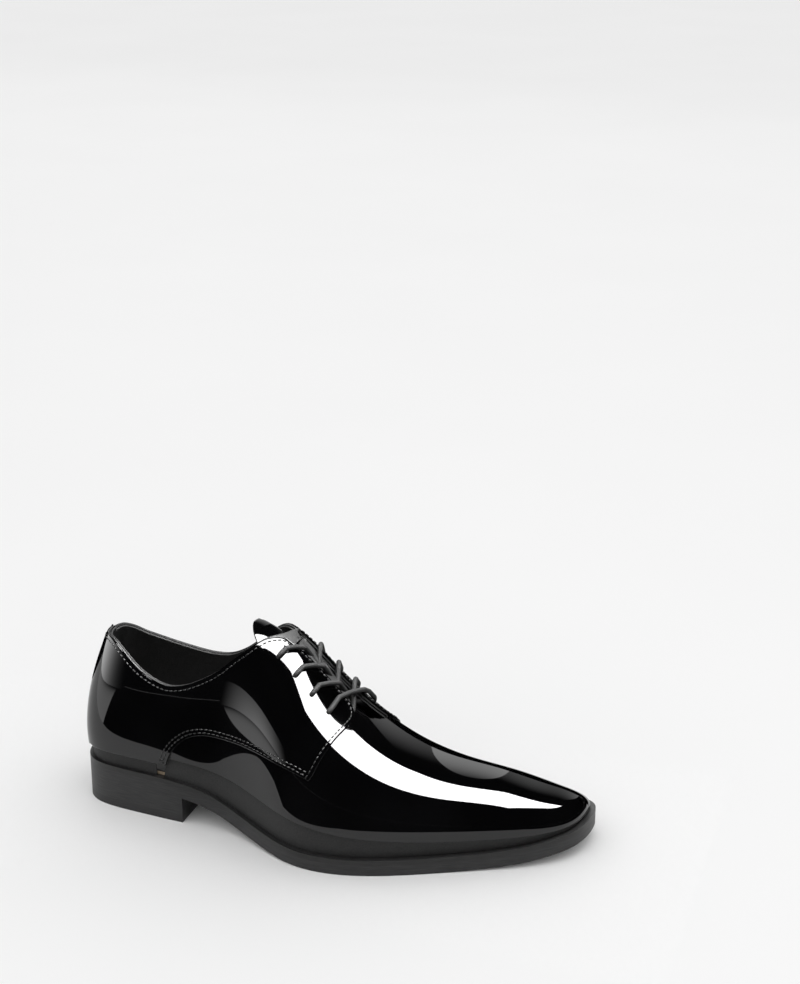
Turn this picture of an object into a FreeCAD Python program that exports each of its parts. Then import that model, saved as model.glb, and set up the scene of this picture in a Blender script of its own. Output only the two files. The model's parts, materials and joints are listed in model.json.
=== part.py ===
"""One right shoe of a pair: a plain-toe derby in patent leather, lying ready on its heel and sole.

Frame: millimetres, +X from the back of the heel to the toe, +Y to the medial (inner) side, +Z up,
Z = 0 on the ground.  The pattern is drawn from the back of the heel; the files are written with the
origin in the middle of the heel's resting face.
"""
import FreeCAD
import Part
import math
import os

Vec = FreeCAD.Vector

# ---- driving dimensions -------------------------------------------------------------------------
SOLE_THICKNESS = 6.5          # outsole
WELT_THICKNESS = 3.0          # welt, on the outsole
INSOLE_THICKNESS = 2.2        # insole board inside the walls of the upper
SOCK_THICKNESS = 1.0          # sock lining on the insole board
HEEL_LENGTH = 72.0            # heel breast, from the back of the heel
ORIGIN_X = 38.0               # middle of the heel's resting face
HEEL_HEIGHT = 17.0            # lifts and top piece together
TOP_PIECE_HEIGHT = 5.0        # rubber top piece, the lowest layer of the heel
LIFT_COUNT = 3                # leather lifts between the top piece and the outsole
HEEL_NAIL_RADIUS = 1.1
TOP_NAIL_RADIUS = 0.8
WELT_INNER_WIDTH = 9.0        # width of the welt ring, from the edge of the sole inwards
SHANK_LENGTH = 92.0
SHANK_WIDTH = 14.0
SHANK_THICKNESS = 1.4
LINING = 0.8                  # leather lining
STIFFENER = 0.7               # toe puff and heel counter, between lining and outer leather
OUTER_LEATHER = 1.1           # vamp, and the backing under the quarters
QUARTER_LEATHER = 1.1         # quarters, laid over the vamp
TONGUE_LEATHER = 0.8
TONGUE_LINING = 0.8
LACE_DIAMETER = 2.9
LACE_ROOM = 4.4               # space for the lace between the facings' lining and the tongue
LACE_LIFT = 0.35              # air between the lace and the leather that it lies on
EYELET_HOLE_RADIUS = 1.9
EYELET_RIM_RADIUS = 3.6
EYELET_THICKNESS = 0.35
BACKSTAY_WIDTH = 11.0
BACKSTAY_THICKNESS = 0.9
BACKSTAY_TOP = 98.0
AGLET_LENGTH = 12.0
AGLET_RADIUS = 1.6

# ---- the last: plan, profile and sections --------------------------------------------------------
# Edge of the sole in plan, as the poles of a cubic curve, from the back of the heel to the toe.
EDGE_LATERAL = [(2, 0), (2, -14), (8.5, -25.5), (24, -30.5), (48, -33), (74, -36), (98, -36.5), (122, -47),
                (147, -62), (176, -63.5), (206, -54), (235, -40.5), (262, -28.5), (286, -16), (303, 2),
                (303, 22)]
EDGE_MEDIAL = [(2, 0), (2, 14), (8.5, 25.5), (24, 31), (48, 32.5), (74, 30.5), (98, 27.5), (124, 28),
               (150, 34), (178, 44), (206, 50.5), (233, 51.5), (260, 48), (284, 42), (303, 34), (303, 22)]
# How far the upper stands inside the edge of the sole, rib by rib.
WELT_MARGIN = [1.5, 1.5, 1.5, 1.5, 1.5, 1.6, 1.8, 2.2, 2.8, 3.0, 3.0, 3.0, 3.0, 3.1, 3.2, 3.2]
# Crest of the instep and toe, and the top of the closed heel, rib by rib.
CREST = [(36, 0, 116), (36, 0, 116), (39, 0, 117), (50, 0, 118), (66, 1, 119), (85, 2, 123), (104, 3, 127),
         (122, 4, 121.5), (142, 6.5, 104), (165, 5, 79), (194, 4, 58), (222, 4.5, 47.5), (250, 9.5, 43),
         (276, 15, 33), (297.5, 21, 27)]
# Walls, as (share of the half width, share of the height): a tall heel and a domed forepart, whose
# inner side falls away from a ridge.
HEEL_WALL = [(1.05, 0.15), (1.02, 0.34), (0.90, 0.56), (0.66, 0.82), (0.44, 1.0)]
FORE_WALL_LATERAL = [(1.05, 0.24), (1.02, 0.54), (0.85, 0.83), (0.55, 0.98), (0.26, 1.0)]
FORE_WALL_MEDIAL = [(1.05, 0.14), (1.05, 0.30), (0.92, 0.38), (0.64, 0.64), (0.30, 0.85)]
FORE_SHARE = [0, 0, 0, 0.02, 0.06, 0.14, 0.26, 0.42, 0.62, 0.82, 1, 1, 1, 1, 1]
BOTTOM_DROP = 5.0             # the last runs on below the welt's top, so that every wall is cut there
# Underside of the sole in side view, as the poles of a cubic curve.
UNDERSIDE = [(-6, 17), (40, 17), (70, 17), (90, 12.5), (108, 5.5), (128, 1.6), (155, 0), (190, 0), (232, 0),
             (262, 1.4), (284, 4.4), (310, 9)]

# ---- pattern lines on the upper --------------------------------------------------------------------
TOPLINE_LATERAL = [(-10, 102), (10, 102.2), (18, 103.2), (24, 102.2), (31, 98), (38.8, 92.3), (47, 87.6),
                   (58.9, 83.9), (68, 84.2), (78.8, 87.9), (92.1, 95.4), (102.3, 104), (110.5, 110.5),
                   (117, 115.2), (122, 116.8), (128, 115.6), (134.7, 111.1), (142, 104)]
TOPLINE_MEDIAL = [(-10, 102), (10, 101.9), (15, 100.4), (20, 97.2), (27.2, 92.3), (36.1, 88.8), (46.9, 85.6),
                  (61, 82.9), (71.3, 82.4), (81.7, 84.2), (92, 90), (102, 98.5), (111, 106.5), (118, 112),
                  (124.5, 115), (130.6, 114.3), (138, 109)]
SEAM_LATERAL = [(57, 15), (60.1, 27.2), (64.7, 42.3), (74.1, 53.6), (85.5, 58.7), (102, 59.6), (127.3, 59.4),
                (146.7, 57.6), (159.5, 54.2), (170, 50)]
SEAM_MEDIAL = [(57, 15), (60.5, 27), (65, 42), (74, 52), (85.5, 56.5), (102, 57), (120, 56), (140, 53),
               (160, 48), (176, 43.5), (190, 39)]
FRONT_LATERAL = [(110, -8.5), (134, -9.3), (148, -9.0), (158, -9.4), (165.7, -10.9), (169.4, -13),
                 (171.9, -16.5),
                 (173.4, -22.2), (172.8, -29), (171.1, -36.5), (167.5, -47.2), (162.7, -56.2), (158, -60.5)]
FRONT_MEDIAL = [(110, 5.2), (131, 5.2), (141.3, 4.2), (152.7, 4.8), (161.9, 6.4), (171.5, 9.3), (179, 12.3),
                (184, 16.5), (185.6, 22), (184, 30), (180, 39), (174, 47.5), (171, 52)]
# The same fronts drawn back by a lap, where the backing ends and the vamp runs under the quarter.
LAP_LATERAL = [(110, -8.5), (134, -9.3), (148, -9.0), (157, -11), (162, -15), (165.5, -22.2), (165.8, -29),
               (164, -36.5), (160.5, -47.2), (155.7, -56.2), (151, -60.5)]
LAP_MEDIAL = [(110, 5.2), (131, 5.2), (141.3, 4.2), (152.7, 5.2), (161.9, 8.5), (170, 12.5), (175.5, 17.5),
              (178, 23), (176.5, 30), (172.5, 39), (167, 47.5), (164, 52)]
EYELETS_LATERAL = [(129.2, -22.8), (140.2, -26.6), (150.8, -29.6), (161.2, -31.1)]
EYELETS_MEDIAL = [(140, 18.5), (150, 19), (160, 20.5), (169.5, 22.5)]
THROAT = [(120, -24), (150, -20), (168, -15.5), (174.5, -12.6), (180.7, -2.5), (183, 5), (181, 13), (172, 22),
          (150, 28), (120, 30)]
TONGUE_OUTLINE = [(110.5, -11), (108.8, -4), (109.5, 3), (112, 10), (119, 15.5), (135, 17), (155, 18),
                  (170, 18),
                  (180, 16), (184, 14)]
TONGUE_OUTLINE_LATERAL = [(184, -9), (174, -15), (155, -18.5), (135, -18.5), (117, -16), (110.5, -11)]
TONGUE_HINGE_X = 184.0        # the tongue bends here, behind its sewn end
TONGUE_GAP = 0.7              # between the tongue and its sewn end
SEAM_LAP = 7.0                # how far the vamp runs under the quarters
BACK_TO_COUNTER = 55.0        # length of the heel counter
COUNTER_TOP = 76.0
PUFF_START = 238.0            # the toe puff runs forward from here

LEVEL_LINING_IN = -(OUTER_LEATHER + STIFFENER + LINING)
LEVEL_LINING_OUT = -(OUTER_LEATHER + STIFFENER)
LEVEL_OUTER_IN = -OUTER_LEATHER
LEVEL_TONGUE_OUT = LEVEL_LINING_IN - LACE_ROOM
LEVEL_TONGUE_MID = LEVEL_TONGUE_OUT - TONGUE_LEATHER
LEVEL_TONGUE_IN = LEVEL_TONGUE_MID - TONGUE_LINING


# ---- curves and surfaces ---------------------------------------------------------------------------
def clamped_knots(count):
    """Knots and multiplicities of a clamped cubic with this many poles."""
    inner = count - 4
    return [float(k) for k in range(inner + 2)], [4] + [1] * inner + [4]


def cubic(points):
    """Clamped cubic curve with these poles."""
    curve = Part.BSplineCurve()
    knots, mults = clamped_knots(len(points))
    curve.buildFromPolesMultsKnots([Vec(*p) for p in points], mults, knots, False, 3)
    return curve


def through(points):
    """Smooth curve through these points."""
    curve = Part.BSplineCurve()
    curve.interpolate([Vec(*p) for p in points])
    return curve


def profile_height(curve_points):
    """Height of a side-view curve as a function of x, from closely spaced points along it."""
    dense = [(p.x, p.z) for p in cubic([(x, 0, z) for x, z in curve_points]).discretize(240)]

    def height(x):
        for (xa, za), (xb, zb) in zip(dense, dense[1:]):
            if xa <= x <= xb:
                return za + (zb - za) * (x - xa) / (xb - xa)
        return dense[0][1] if x < dense[0][0] else dense[-1][1]
    return height


UNDERSIDE_HEIGHT = profile_height(UNDERSIDE)


def welt_top(x):
    return UNDERSIDE_HEIGHT(x) + SOLE_THICKNESS + WELT_THICKNESS


def inset_poles(edge, margins, sign):
    """Poles of the sole's edge moved inwards, square to the neighbouring poles."""
    moved = []
    last = len(edge) - 1
    for i, (x, y) in enumerate(edge):
        if i == 0:
            normal = (1.0, 0.0)
        elif i >= last - 1:
            normal = (-1.0, 0.0)
        else:
            dx = edge[i + 1][0] - edge[i - 1][0]
            dy = edge[i + 1][1] - edge[i - 1][1]
            size = math.hypot(dx, dy)
            normal = (dy * sign / size, -dx * sign / size)
        if i == 1:
            normal = (1.0, -0.4 * sign)
        if i == last - 1:
            normal = (-1.0, -0.5 * sign)
        moved.append((x + margins[i] * normal[0], y + margins[i] * normal[1]))
    return moved


def last_net(edge, sign):
    """Control net of one half of the last: rows from heel to toe, columns from sole to crest."""
    foot = inset_poles(edge, WELT_MARGIN, sign)
    fore_wall = FORE_WALL_LATERAL if sign < 0 else FORE_WALL_MEDIAL
    rows = []
    for i, (cx, cy, cz) in enumerate(CREST):
        fx, fy = foot[i]
        base = welt_top(fx)
        share = FORE_SHARE[i]
        row = [Vec(cx, cy, welt_top(cx) - BOTTOM_DROP),
               Vec(cx + 0.8 * (fx - cx), cy + 0.8 * (fy - cy), base - BOTTOM_DROP),
               Vec(fx, fy, base - BOTTOM_DROP), Vec(fx, fy, base + 0.5)]
        for (hn, ht), (fn, ft) in zip(HEEL_WALL, fore_wall):
            n = hn + share * (fn - hn)
            t = ht + share * (ft - ht)
            row.append(Vec(cx + n * (fx - cx), cy + n * (fy - cy), base + t * (cz - base)))
        row.append(Vec(cx, cy, cz))
        rows.append(row)
    tip = Vec(foot[-1][0], foot[-1][1], welt_top(foot[-1][0]) + 1.0)
    rows.append([tip] * len(rows[0]))
    return rows


def offset_net(net, sign, distance):
    """The net moved outwards by a distance, along the normals of its own polygons."""
    moved = []
    last_row = len(net) - 1
    last_col = len(net[0]) - 1
    for i, row in enumerate(net):
        new_row = []
        for j, point in enumerate(row):
            if i == last_row:
                new_row.append(point + Vec(distance, 0, 0))
                continue
            along = net[min(i + 1, last_row)][j] - net[max(i - 1, 0)][j]
            up = row[min(j + 1, last_col)] - row[max(j - 1, 0)]
            if j <= 3:
                up = Vec(0, 0, 1)
            if j == last_col:
                up = Vec(0, -sign, 0)
            if i <= 1:
                along = Vec(0, sign, 0) if i == 0 else net[2][j] - net[0][j]
            if i == 0 and j == last_col:
                normal = Vec(0, 0, 1)
            else:
                normal = up.cross(along) * sign
            if j in (0, 1):
                normal = Vec(0, 0, 0)
            if j == last_col and i < last_row:
                normal = Vec(normal.x, 0, normal.z)
            if normal.Length > 1e-9:
                normal.normalize()
            shift = normal * distance
            if i == last_row - 1:
                shift.x = distance
            if i == 0:
                shift.y = 0
            if j <= 2:
                shift.z = -distance
            new_row.append(point + shift)
        moved.append(new_row)
    return moved


NET_LATERAL = last_net(EDGE_LATERAL, -1)
NET_MEDIAL = last_net(EDGE_MEDIAL, 1)


def half_surface(net, sign, distance):
    """One half of the last's skin, a distance outside the vamp's outer face."""
    poles = offset_net(net, sign, distance)
    surface = Part.BSplineSurface()
    u_knots, u_mults = clamped_knots(len(poles))
    v_knots, v_mults = clamped_knots(len(poles[0]))
    surface.buildFromPolesMultsKnots(poles, u_mults, v_mults, u_knots, v_knots, False, False, 3, 3)
    return surface


LAST_CACHE = {}


def last_solid(distance):
    """The closed last, a distance outside the vamp's outer face."""
    key = round(distance, 3)
    if key not in LAST_CACHE:
        faces = [half_surface(NET_LATERAL, -1, distance).toShape(),
                 half_surface(NET_MEDIAL, 1, distance).toShape()]
        shell = Part.Compound(faces)
        shell.sewShape()
        solid = Part.makeSolid(shell.Shells[0])
        solid.fix(0.001, 0.001, 0.001)
        LAST_CACHE[key] = solid
    return LAST_CACHE[key]


# ---- tools for cutting -----------------------------------------------------------------------------
FAR = 400.0


def wire_from(pieces):
    """Closed wire from curves and points in order, with straight runs between them."""
    edges = []
    ends = []
    for piece in pieces:
        if isinstance(piece, Vec):
            ends.append((piece, piece))
            edges.append(None)
        else:
            ends.append((piece.valueAt(piece.FirstParameter), piece.valueAt(piece.LastParameter)))
            edges.append(piece)
    loop = []
    for i, edge in enumerate(edges):
        if edge is not None:
            loop.append(edge)
        start = ends[i][1]
        stop = ends[(i + 1) % len(ends)][0]
        if (stop - start).Length > 1e-6:
            loop.append(Part.LineSegment(start, stop).toShape())
    return Part.Wire(loop)


def side_curve(points):
    return through([(x, 0, z) for x, z in points]).toShape()


def plan_curve(points):
    return through([(x, y, 0) for x, y in points]).toShape()


def side_prism(pieces, y_low, y_high):
    """Solid whose side view is the closed outline, between two values of y."""
    wire = wire_from(pieces)
    wire.translate(Vec(0, y_low, 0))
    return Part.Face(wire).extrude(Vec(0, y_high - y_low, 0))


def plan_prism(pieces, z_low=-20.0, z_high=180.0):
    """Solid whose plan is the closed outline, between two heights."""
    wire = wire_from(pieces)
    wire.translate(Vec(0, 0, z_low))
    return Part.Face(wire).extrude(Vec(0, 0, z_high - z_low))


def band(low, high):
    """Layer that follows the underside of the sole, between two heights above it."""
    curve = cubic([(x, 0, z) for x, z in UNDERSIDE])
    lower = curve.toShape().translated(Vec(0, 0, low))
    upper = curve.toShape().translated(Vec(0, 0, high))
    ends = [(e.valueAt(e.FirstParameter), e.valueAt(e.LastParameter)) for e in (lower, upper)]
    wire = Part.Wire([lower, Part.LineSegment(ends[0][1], ends[1][1]).toShape(), upper,
                      Part.LineSegment(ends[1][0], ends[0][0]).toShape()])
    wire.translate(Vec(0, -120, 0))
    return Part.Face(wire).extrude(Vec(0, 240, 0))


def above_band(low):
    """Everything higher than this height above the underside."""
    return band(low, 200.0)


def sole_prism(inset=0.0, z_low=-20.0, z_high=180.0):
    """Prism with the plan of the sole's edge, moved inwards by a width."""
    margins = [inset] * len(EDGE_LATERAL)
    curves = []
    for edge, sign in ((EDGE_LATERAL, -1), (EDGE_MEDIAL, 1)):
        poles = inset_poles(edge, margins, sign)
        curves.append(cubic([(x, y, z_low) for x, y in poles]).toShape())
    face = Part.Face(Part.Wire(curves))
    return face.extrude(Vec(0, 0, z_high - z_low))


def box(x0, x1, y0, y1, z0, z1):
    return Part.makeBox(x1 - x0, y1 - y0, z1 - z0, Vec(x0, y0, z0))


def one(shape):
    """The shape as a clean solid, or a group of solids."""
    solids = [s for s in shape.Solids if s.Volume > 0.5]
    return solids[0] if len(solids) == 1 else Part.makeCompound(solids)


def skin(low, high):
    """Layer of the upper between two levels, standing on the welt."""
    trimmed = last_solid(high).common(above_band(SOLE_THICKNESS + WELT_THICKNESS))
    return trimmed.cut(last_solid(low))


SIDES = {
    "lateral": {"sign": -1, "topline": TOPLINE_LATERAL, "seam": SEAM_LATERAL, "front": FRONT_LATERAL,
                "lap": LAP_LATERAL, "eyelets": EYELETS_LATERAL},
    "medial": {"sign": 1, "topline": TOPLINE_MEDIAL, "seam": SEAM_MEDIAL, "front": FRONT_MEDIAL,
               "lap": LAP_MEDIAL, "eyelets": EYELETS_MEDIAL},
}


def quarter_region(side, lapped=False, open_top=False):
    """Space of one quarter: behind its front edge, above its arched seam and below the topline."""
    sign = side["sign"]
    lap = SEAM_LAP if lapped else 0.0
    seam = side_curve([(x - 0.5 * lap, z + 0.8 * lap) for x, z in side["seam"]])
    seam_start = seam.valueAt(seam.FirstParameter)
    seam_end = seam.valueAt(seam.LastParameter)
    if open_top:
        top = [Vec(260, 0, seam_end.z), Vec(260, 0, FAR / 2), Vec(-40, 0, FAR / 2)]
    else:
        line = side_curve(list(reversed(side["topline"])))
        line_start = line.valueAt(line.FirstParameter)
        top = [Vec(260, 0, seam_end.z), Vec(260, 0, line_start.z), line]
    outline = [seam] + top + [Vec(-40, 0, seam_start.z)]
    y_low, y_high = (0, 100) if sign > 0 else (-100, 0)
    region = side_prism(outline, y_low, y_high)
    front = plan_curve(side["lap"] if lapped else side["front"])
    front_end = front.valueAt(front.LastParameter)
    front_start = front.valueAt(front.FirstParameter)
    plan = [front, Vec(front_end.x, sign * 95, 0), Vec(-40, sign * 95, 0), Vec(-40, 0, 0),
            Vec(front_start.x - 8, 0, 0)]
    return region.common(plan_prism(plan))


def throat_opening():
    """Space between the facings where the vamp, its lining and the backing are cut away."""
    return plan_prism([plan_curve(THROAT), Vec(40, THROAT[-1][1], 0), Vec(40, THROAT[0][1], 0)], 40.0, 180.0)


# ---- the sole ----------------------------------------------------------------------------------------
def make_heel_layers(outsole_bottom):
    """Top piece and lifts, one on another, up to the outsole."""
    breast = box(-20, HEEL_LENGTH, -60, 60, -5, 60)
    block = sole_prism().common(breast).cut(above_band(0.0))
    block = block.common(box(-20, 100, -60, 60, 0, 60))
    layers = {}
    layers["heel_top_piece"] = block.common(box(-20, 100, -60, 60, 0, TOP_PIECE_HEIGHT))
    step = (HEEL_HEIGHT - TOP_PIECE_HEIGHT) / LIFT_COUNT
    for i in range(LIFT_COUNT):
        low = TOP_PIECE_HEIGHT + i * step
        high = low + step if i < LIFT_COUNT - 1 else outsole_bottom
        layers[f"heel_lift_{i + 1}"] = block.common(box(-20, 100, -60, 60, low, high))
    return layers


def cylinders(spots, radius, low, high):
    return Part.makeCompound([Part.makeCylinder(radius, high - low, Vec(x, y, low)) for x, y in spots])


def make_sole():
    """Outsole, welt, filler, shank, insole, sock and heel, with the nails through them."""
    outline = sole_prism()
    parts = {}
    outsole = outline.common(band(0.0, SOLE_THICKNESS))
    ring = outline.common(band(SOLE_THICKNESS, SOLE_THICKNESS + WELT_THICKNESS))
    core = sole_prism(WELT_INNER_WIDTH)
    filler = ring.common(core)
    welt = ring.cut(core)
    shank_low = SOLE_THICKNESS + 0.8
    shank = band(shank_low, shank_low + SHANK_THICKNESS)
    shank = shank.common(box(HEEL_LENGTH - 34, HEEL_LENGTH - 34 + SHANK_LENGTH, -SHANK_WIDTH / 2 - 3,
                             SHANK_WIDTH / 2 - 3, -10, 80))
    filler = filler.cut(shank)
    board_low = SOLE_THICKNESS + WELT_THICKNESS
    board_high = board_low + INSOLE_THICKNESS
    foot_room = last_solid(LEVEL_LINING_IN).common(above_band(board_low))
    board = foot_room.cut(above_band(board_high))
    sock = foot_room.common(above_band(board_high)).cut(above_band(board_high + SOCK_THICKNESS))
    layers = make_heel_layers(60.0)
    nail_ring = [(14, 0), (20, -17), (20, 17), (42, -21), (42, 20), (62, -22), (62, 18)]
    heel_nails = cylinders(nail_ring, HEEL_NAIL_RADIUS, TOP_PIECE_HEIGHT,
                           UNDERSIDE_HEIGHT(40) + SOLE_THICKNESS)
    small_ring = [(7, 0), (10.5, -13), (10.5, 13), (22, -24), (22, 24), (40, -26), (40, 26), (58, -28),
                  (58, 26), (66, -10), (66, 8)]
    top_nails = cylinders(small_ring, TOP_NAIL_RADIUS, 0.4, TOP_PIECE_HEIGHT + 3.0)
    parts["outsole"] = outsole.cut(heel_nails)
    parts["welt"] = welt
    parts["bottom_filler"] = filler.cut(heel_nails)
    parts["shank"] = shank
    parts["insole_board"] = board
    parts["sock_lining"] = sock
    for name, layer in layers.items():
        parts[name] = layer.cut(heel_nails).cut(top_nails)
    parts["heel_nails"] = heel_nails
    parts["top_piece_nails"] = top_nails
    return parts


# ---- the upper ---------------------------------------------------------------------------------------
def surface_point(side, x, y, level):
    """Point and outward normal of the skin at a level, above a place in plan."""
    sign = side["sign"]
    net = NET_LATERAL if sign < 0 else NET_MEDIAL
    key = ("surface", sign, round(level, 3))
    if key not in LAST_CACHE:
        LAST_CACHE[key] = half_surface(net, sign, level)
    surface = LAST_CACHE[key]
    (u0, u1, v0, v1) = surface.bounds()
    u = u0 + 0.5 * (u1 - u0)
    v = v0 + 0.85 * (v1 - v0)
    for _ in range(40):
        here = surface.value(u, v)
        du = surface.getDN(u, v, 1, 0)
        dv = surface.getDN(u, v, 0, 1)
        ex = x - here.x
        ey = y - here.y
        det = du.x * dv.y - du.y * dv.x
        su = (ex * dv.y - ey * dv.x) / det
        sv = (du.x * ey - du.y * ex) / det
        u = min(max(u + 0.7 * su, u0 + 1e-4), u1 - 1e-4)
        v = min(max(v + 0.7 * sv, v0 + 1e-4), v1 - 1e-4)
    normal = surface.getDN(u, v, 1, 0).cross(surface.getDN(u, v, 0, 1))
    normal.normalize()
    if normal.z < 0:
        normal = normal * -1.0
    return surface.value(u, v), normal


def eyelet_axes(side):
    """Centre on the vamp's outer level and outward normal of each eyelet."""
    return [surface_point(side, x, y, 0.0) for x, y in side["eyelets"]]


def punch(side, radius, low, high):
    """Cylinders along the eyelets' axes, between two levels."""
    return Part.makeCompound([Part.makeCylinder(radius, high - low, centre + normal * low, normal)
                              for centre, normal in eyelet_axes(side)])


def make_eyelets(side):
    """Blind eyelets: a barrel up to the quarter and a flange against the lining."""
    barrel_radius = EYELET_HOLE_RADIUS + EYELET_THICKNESS
    flange_low = LEVEL_LINING_IN - EYELET_THICKNESS
    barrel = punch(side, barrel_radius, flange_low, -0.3)
    flange = punch(side, EYELET_RIM_RADIUS, flange_low, LEVEL_LINING_IN)
    rings = []
    for one_barrel, one_flange in zip(barrel.Solids, flange.Solids):
        rings.append(one_barrel.fuse(one_flange))
    hole = punch(side, EYELET_HOLE_RADIUS, flange_low - 1, 1.0)
    return Part.makeCompound(rings).cut(hole)


def make_upper():
    """Outer leather, stiffeners, linings and backings of the upper."""
    parts = {}
    barrel_radius = EYELET_HOLE_RADIUS + EYELET_THICKNESS
    outer = skin(0.0, QUARTER_LEATHER)
    leather = skin(LEVEL_OUTER_IN, 0.0)
    middle = skin(LEVEL_LINING_OUT, LEVEL_OUTER_IN)
    lining = skin(LEVEL_LINING_IN, LEVEL_LINING_OUT)
    counter_box = box(-20, BACK_TO_COUNTER, -90, 90, 0, COUNTER_TOP)
    vamp = leather
    vamp_middle = middle
    vamp_lining = lining
    for name, side in SIDES.items():
        hole = punch(side, barrel_radius, -6.0, 0.2)
        full = quarter_region(side)
        lapped = quarter_region(side, True)
        parts[f"quarter_{name}"] = outer.common(full).cut(punch(side, EYELET_HOLE_RADIUS, -1.0, 4.0))
        parts[f"quarter_backing_{name}"] = leather.common(lapped).cut(hole)
        quarter_middle = middle.common(full).cut(hole)
        parts[f"quarter_interlining_{name}"] = quarter_middle.cut(counter_box)
        parts[f"quarter_lining_{name}"] = lining.common(full).cut(hole)
        parts[f"eyelets_{name}"] = make_eyelets(side)
        vamp = vamp.cut(quarter_region(side, True, True))
        vamp_middle = vamp_middle.cut(quarter_region(side, False, True))
        vamp_lining = vamp_lining.cut(quarter_region(side, False, True))
    opening = throat_opening()
    vamp_middle = vamp_middle.cut(opening)
    puff_box = box(PUFF_START, 320, -90, 90, 0, 90)
    parts["vamp"] = vamp.cut(opening)
    parts["vamp_interlining"] = vamp_middle.cut(puff_box)
    parts["toe_puff"] = vamp_middle.common(puff_box)
    parts["vamp_lining"] = vamp_lining.cut(opening)
    parts["heel_counter"] = middle.common(counter_box)
    strap = skin(QUARTER_LEATHER, QUARTER_LEATHER + BACKSTAY_THICKNESS)
    strap_box = box(-20, 40, -BACKSTAY_WIDTH / 2, BACKSTAY_WIDTH / 2, 0, BACKSTAY_TOP)
    parts["backstay"] = strap.common(strap_box)
    return parts


def make_tongue():
    """The tongue and its lining, free up to the hinge line, and the sewn end beyond it."""
    medial = plan_curve(TONGUE_OUTLINE)
    lateral = plan_curve(TONGUE_OUTLINE_LATERAL)
    region = plan_prism([medial, lateral], 30.0, 180.0)
    parts = {}
    whole = last_solid(LEVEL_TONGUE_OUT).common(region).cut(last_solid(LEVEL_TONGUE_IN))
    parts["tongue"] = whole.cut(last_solid(LEVEL_TONGUE_MID))
    parts["tongue_lining"] = whole.common(last_solid(LEVEL_TONGUE_MID))
    root_x = TONGUE_HINGE_X + TONGUE_GAP
    root_room = box(root_x, root_x + 7.0, -9, 14, 30, 100)
    parts["tongue_root"] = last_solid(LEVEL_LINING_IN).common(root_room).cut(last_solid(LEVEL_TONGUE_IN))
    return parts


# ---- the lace ----------------------------------------------------------------------------------------
LACE_OVER = QUARTER_LEATHER + LACE_LIFT + LACE_DIAMETER / 2
LACE_UNDER = LEVEL_LINING_IN - EYELET_THICKNESS - LACE_LIFT - LACE_DIAMETER / 2
LACE_BEND = 3.0               # radius of the lace's bends where there is room for it
CROSSINGS = [143.0, 154.0, 163.5]
TAIL_RUN = 16.0


def place(x, y, level):
    """Point at a level above a place in plan, on whichever half of the skin covers it."""
    side = SIDES["lateral"] if y < 5.0 else SIDES["medial"]
    point, _ = surface_point(side, x, y, level)
    return point


def hole(side_name, index):
    """Plan of an eyelet, and the lace's points above and below it on the eyelet's axis."""
    side = SIDES[side_name]
    x, y = side["eyelets"][index]
    centre, normal = surface_point(side, x, y, 0.0)
    return (x, y), centre + normal * LACE_OVER, centre + normal * LACE_UNDER


def between(start, end, shares, level):
    """Points above the straight line between two places in plan."""
    return [place(start[0] + t * (end[0] - start[0]), start[1] + t * (end[1] - start[1]), level)
            for t in shares]


def lace_half(own, other, cross_low, cross_high):
    """Points of the lace from an eyelet of the lowest pair up to its end.

    The lace goes in at each eyelet, runs inside, rises through the gap and passes over the far facing.
    """
    points = []
    names = [own, other]
    for row in (3, 2, 1):
        here, there = names
        plan_here, over_here, under_here = hole(here, row)
        plan_there, over_there, _ = hole(there, row - 1)
        x = CROSSINGS[row - 1]
        if here == "medial":
            low = (x + cross_low[0], cross_low[1])
            high = (x - 3.3, -8.6)
        else:
            low = (x + cross_high[0], cross_high[1])
            high = (x + 1.6, 3.0)
        points += [over_here, under_here]
        points += between(plan_here, low, (0.35, 0.7), LACE_UNDER)
        points.append(place(low[0], low[1], LACE_UNDER))
        points.append(place(high[0], high[1], LACE_OVER + 0.25))
        points += between(high, plan_there, (0.35, 0.7), LACE_OVER + 0.15)
        names.reverse()
    last, over, under = hole(names[0], 0)
    points += [over, under]
    sign = SIDES[names[0]]["sign"]
    points.append(place(last[0] - TAIL_RUN * 0.5, last[1] + sign * 1.0, LACE_UNDER - 0.4))
    points.append(place(last[0] - TAIL_RUN, last[1] + sign * 2.0, LACE_UNDER - 1.8))
    return points


def rounded_path(points):
    """Straight runs with a tangent arc at every corner."""
    edges = []
    start = points[0]
    for before, corner, after in zip(points, points[1:], points[2:]):
        come = corner - before
        go = after - corner
        room = min(come.Length, go.Length)
        come.normalize()
        go.normalize()
        half = 0.5 * math.acos(max(-1.0, min(1.0, come.dot(go))))
        if half < 0.002:
            continue
        radius = min(LACE_BEND, 0.45 * room / math.tan(half))
        trim = radius * math.tan(half)
        inward = go - come
        inward.normalize()
        centre = corner + inward * (radius / math.cos(half))
        first = corner - come * trim
        edges.append(Part.LineSegment(start, first).toShape())
        start = corner + go * trim
        edges.append(Part.Arc(first, centre - inward * radius, start).toShape())
    edges.append(Part.LineSegment(start, points[-1]).toShape())
    return Part.Wire(edges)


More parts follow.
